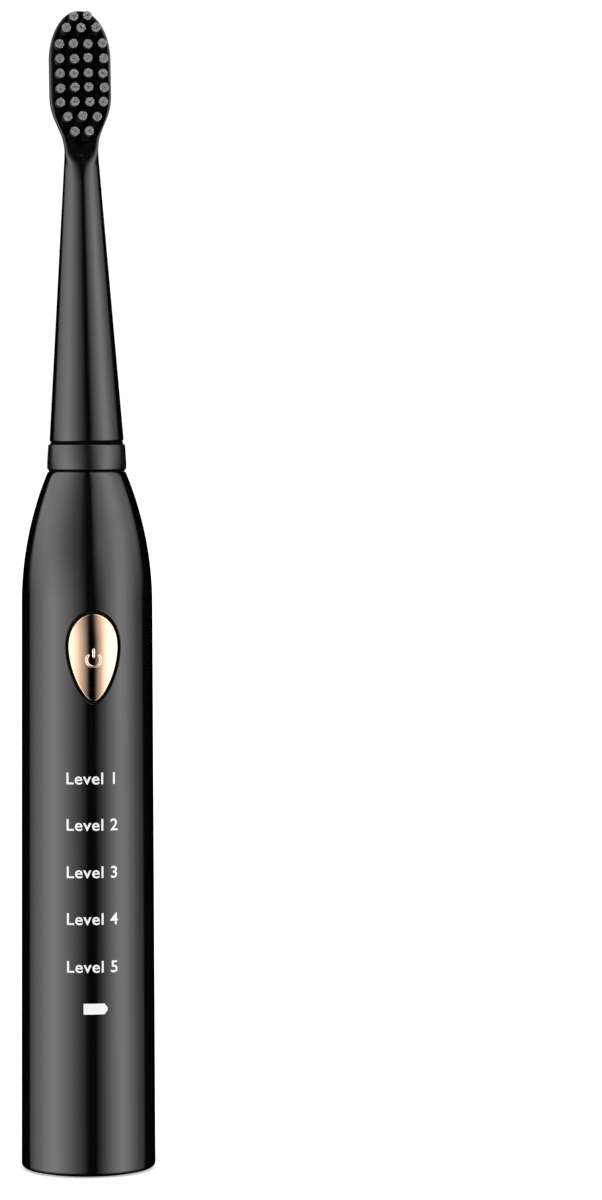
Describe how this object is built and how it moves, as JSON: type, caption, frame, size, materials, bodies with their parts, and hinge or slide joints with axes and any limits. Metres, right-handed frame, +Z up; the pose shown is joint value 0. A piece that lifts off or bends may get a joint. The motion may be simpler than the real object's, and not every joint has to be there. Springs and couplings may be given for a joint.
{
  "type": "electric toothbrush",
  "caption": "Slim sonic toothbrush: round gloss black battery handle with a teardrop rose gold power button, a lit mode column, and a pull-off tapered brush head with bristle tufts.",
  "frame": {"origin": "centre of the round foot that the handle stands on", "axes": "+Z up along the handle and the drive shaft to the tip of the brush head; the button, the mode column and the bristles face -Y; +X is to the right seen from the front"},
  "size_m": [0.0274, 0.0274, 0.2366],
  "materials": {
    "handle_black": "polished black shell",
    "satin_black": "satin black moulding",
    "head_black": "polished black moulding of the brush head",
    "seal_rubber": "soft black silicone",
    "rose_gold": "mirror-bright rose gold plating",
    "bristle_grey": "charcoal grey nylon filament",
    "steel": "bright turned steel",
    "bronze": "oil-filled sintered bronze",
    "copper": "enamelled copper wire",
    "nickel": "nickel plate",
    "frame_white": "plain white moulding",
    "board_green": "green solder mask",
    "chip_black": "black moulding compound",
    "light_white": "translucent white",
    "cell_blue": "blue heat-shrink sleeve",
    "foam_grey": "grey foam",
    "lead_red": "red insulation",
    "lead_black": "black insulation"
  },
  "bodies": {
    "handle": {"handle_shell": "handle_black", "base_cap": "satin_black", "base_o_ring": "seal_rubber", "charging_jack": "satin_black", "jack_pin": "nickel", "neck_ring": "satin_black", "nose_cone": "satin_black", "nose_o_ring": "seal_rubber", "shaft_seal": "seal_rubber", "front_bush": "bronze", "button_membrane": "seal_rubber", "circuit_board": "board_green", "controller_chip": "chip_black", "capacitor": "nickel", "driver_chip": "chip_black", "switch_body": "chip_black", "mode_light_1": "light_white", "mode_light_2": "light_white", "mode_light_3": "light_white", "mode_light_4": "light_white", "mode_light_5": "light_white", "battery_light": "light_white", "light_baffle": "frame_white", "diffuser_film": "light_white", "board_screw_1": "steel", "board_screw_2": "steel", "board_screw_3": "steel", "board_screw_4": "steel", "inner_frame": "frame_white", "battery_cell": "cell_blue", "battery_tab_top": "nickel", "battery_tab_foot": "nickel", "battery_pad_top": "foam_grey", "battery_pad_foot": "foam_grey", "motor_frame": "steel", "motor_cushion": "seal_rubber", "stator_core": "steel", "coil_bobbin": "chip_black", "stator_coil": "copper", "torsion_spring": "steel", "rear_bush": "bronze", "motor_lead_a": "lead_black", "motor_lead_b": "lead_red", "charge_lead_a": "lead_black", "charge_lead_b": "lead_red", "battery_lead_top": "lead_red", "battery_lead_foot": "lead_black"},
    "drive": {"drive_shaft": "steel", "magnet_carrier": "steel", "magnet_left": "nickel", "magnet_right": "nickel"},
    "brush_head": {"head_shell": "head_black", "bristle_block": "bristle_grey", "drive_insert": "satin_black", "retention_clip": "steel"},
    "button": {"power_button": "rose_gold"},
    "plunger": {"switch_plunger": "frame_white"}
  },
  "joints": [
    {"name": "drive_swing", "type": "hinge", "parent": "handle", "child": "drive", "pos_m": [0, 0, 0.13], "axis": [0, 0, 1], "range_deg": [-5, 5], "stiffness_Nm_per_rad": 0.1, "deforming": ["torsion_spring"]},
    {"name": "head_release", "type": "slide", "parent": "drive", "child": "brush_head", "axis": [0, 0, 1], "range_m": [0, 0.025]},
    {"name": "button_press", "type": "slide", "parent": "handle", "child": "button", "axis": [0, 1, 0], "range_m": [0, 0.0004], "stiffness_N_per_m": 1500, "deforming": ["button_membrane"]},
    {"name": "plunger_press", "type": "slide", "parent": "handle", "child": "plunger", "axis": [0, 1, 0], "range_m": [0, 0.0004]}
  ],
  "couplings": [
    {"joint": "plunger_press", "follows": "button_press", "ratio": 1}
  ]
}
